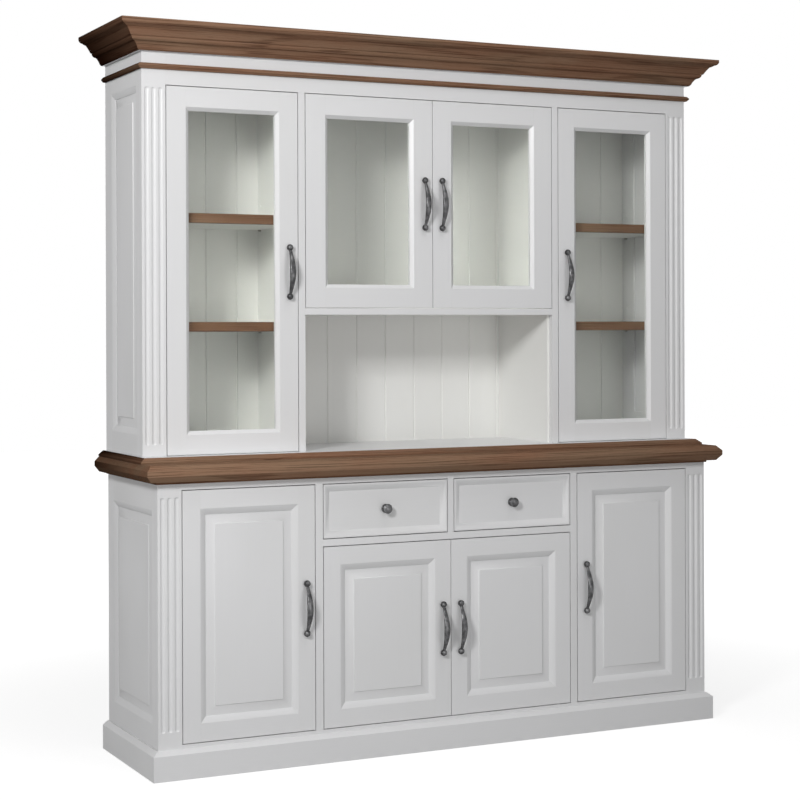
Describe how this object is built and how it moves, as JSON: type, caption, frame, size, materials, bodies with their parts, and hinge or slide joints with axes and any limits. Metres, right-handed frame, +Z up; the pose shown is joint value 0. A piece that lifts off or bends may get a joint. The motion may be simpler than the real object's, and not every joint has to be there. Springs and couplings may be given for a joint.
{
  "type": "dresser with hutch",
  "caption": "Wide painted dresser: a base of panelled doors and drawers under a wooden top, with a glazed hutch, open niche and cornice above.",
  "frame": {"origin": "on the floor, under the middle of the worktop", "axes": "+Z up, +X to the right of someone facing the doors, -Y out of the front"},
  "size_m": [2.086, 0.52, 2.202],
  "materials": {
    "white_lacquer": "satin white lacquer",
    "brown_wood": "satin brown stain",
    "drawer_wood": "clear matt lacquer",
    "clear_glass": "polished",
    "pewter": "antique pewter",
    "plated_steel": "nickel plate"
  },
  "bodies": {
    "carcass": {"base_plinth": "white_lacquer", "base_side_frames": "white_lacquer", "base_side_panels": "white_lacquer", "base_face_frame": "white_lacquer", "base_boards": "white_lacquer", "base_partitions": "white_lacquer", "base_back": "white_lacquer", "worktop": "brown_wood", "hutch_board": "white_lacquer", "hutch_board_moulding": "brown_wood", "hutch_side_frames": "white_lacquer", "hutch_side_panels": "white_lacquer", "hutch_partitions": "white_lacquer", "shelf_pins": "plated_steel", "hutch_shelves": "brown_wood", "hutch_face_frame": "white_lacquer", "hutch_niche_top": "white_lacquer", "hutch_back": "white_lacquer", "hutch_top": "white_lacquer", "astragal": "brown_wood", "cornice": "brown_wood", "hinge_arms": "plated_steel"},
    "base_door_left": {"base_door_left_frame": "white_lacquer", "base_door_left_panel": "white_lacquer", "base_door_left_handle": "pewter", "base_door_left_hinge_cups": "plated_steel"},
    "base_door_mid_left": {"base_door_mid_left_frame": "white_lacquer", "base_door_mid_left_panel": "white_lacquer", "base_door_mid_left_handle": "pewter", "base_door_mid_left_hinge_cups": "plated_steel"},
    "base_door_mid_right": {"base_door_mid_right_frame": "white_lacquer", "base_door_mid_right_panel": "white_lacquer", "base_door_mid_right_handle": "pewter", "base_door_mid_right_hinge_cups": "plated_steel"},
    "base_door_right": {"base_door_right_frame": "white_lacquer", "base_door_right_panel": "white_lacquer", "base_door_right_handle": "pewter", "base_door_right_hinge_cups": "plated_steel"},
    "hutch_door_left": {"hutch_door_left_frame": "white_lacquer", "hutch_door_left_glass": "clear_glass", "hutch_door_left_handle": "pewter", "hutch_door_left_hinge_cups": "plated_steel"},
    "hutch_door_mid_left": {"hutch_door_mid_left_frame": "white_lacquer", "hutch_door_mid_left_glass": "clear_glass", "hutch_door_mid_left_handle": "pewter", "hutch_door_mid_left_hinge_cups": "plated_steel"},
    "hutch_door_mid_right": {"hutch_door_mid_right_frame": "white_lacquer", "hutch_door_mid_right_glass": "clear_glass", "hutch_door_mid_right_handle": "pewter", "hutch_door_mid_right_hinge_cups": "plated_steel"},
    "hutch_door_right": {"hutch_door_right_frame": "white_lacquer", "hutch_door_right_glass": "clear_glass", "hutch_door_right_handle": "pewter", "hutch_door_right_hinge_cups": "plated_steel"},
    "drawer_left": {"drawer_left_front": "white_lacquer", "drawer_left_box": "drawer_wood", "drawer_left_knob": "pewter"},
    "drawer_right": {"drawer_right_front": "white_lacquer", "drawer_right_box": "drawer_wood", "drawer_right_knob": "pewter"}
  },
  "joints": [
    {"name": "base_door_left_hinge", "type": "hinge", "parent": "carcass", "child": "base_door_left", "pos_m": [-0.876, -0.216, 0.1], "axis": [0, 0, -1], "range_deg": [0, 100]},
    {"name": "base_door_mid_left_hinge", "type": "hinge", "parent": "carcass", "child": "base_door_mid_left", "pos_m": [-0.43, -0.216, 0.1], "axis": [0, 0, -1], "range_deg": [0, 100]},
    {"name": "base_door_mid_right_hinge", "type": "hinge", "parent": "carcass", "child": "base_door_mid_right", "pos_m": [0.43, -0.216, 0.1], "axis": [0, 0, 1], "range_deg": [0, 100]},
    {"name": "base_door_right_hinge", "type": "hinge", "parent": "carcass", "child": "base_door_right", "pos_m": [0.876, -0.216, 0.1], "axis": [0, 0, 1], "range_deg": [0, 100]},
    {"name": "hutch_door_left_hinge", "type": "hinge", "parent": "carcass", "child": "hutch_door_left", "pos_m": [-0.881, -0.099, 0.928], "axis": [0, 0, -1], "range_deg": [0, 100]},
    {"name": "hutch_door_mid_left_hinge", "type": "hinge", "parent": "carcass", "child": "hutch_door_mid_left", "pos_m": [-0.435, -0.099, 1.366], "axis": [0, 0, -1], "range_deg": [0, 100]},
    {"name": "hutch_door_mid_right_hinge", "type": "hinge", "parent": "carcass", "child": "hutch_door_mid_right", "pos_m": [0.435, -0.099, 1.366], "axis": [0, 0, 1], "range_deg": [0, 100]},
    {"name": "hutch_door_right_hinge", "type": "hinge", "parent": "carcass", "child": "hutch_door_right", "pos_m": [0.881, -0.099, 0.928], "axis": [0, 0, 1], "range_deg": [0, 100]},
    {"name": "drawer_left_slide", "type": "slide", "parent": "carcass", "child": "drawer_left", "axis": [0, -1, 0], "range_m": [0, 0.3]},
    {"name": "drawer_right_slide", "type": "slide", "parent": "carcass", "child": "drawer_right", "axis": [0, -1, 0], "range_m": [0, 0.3]}
  ]
}
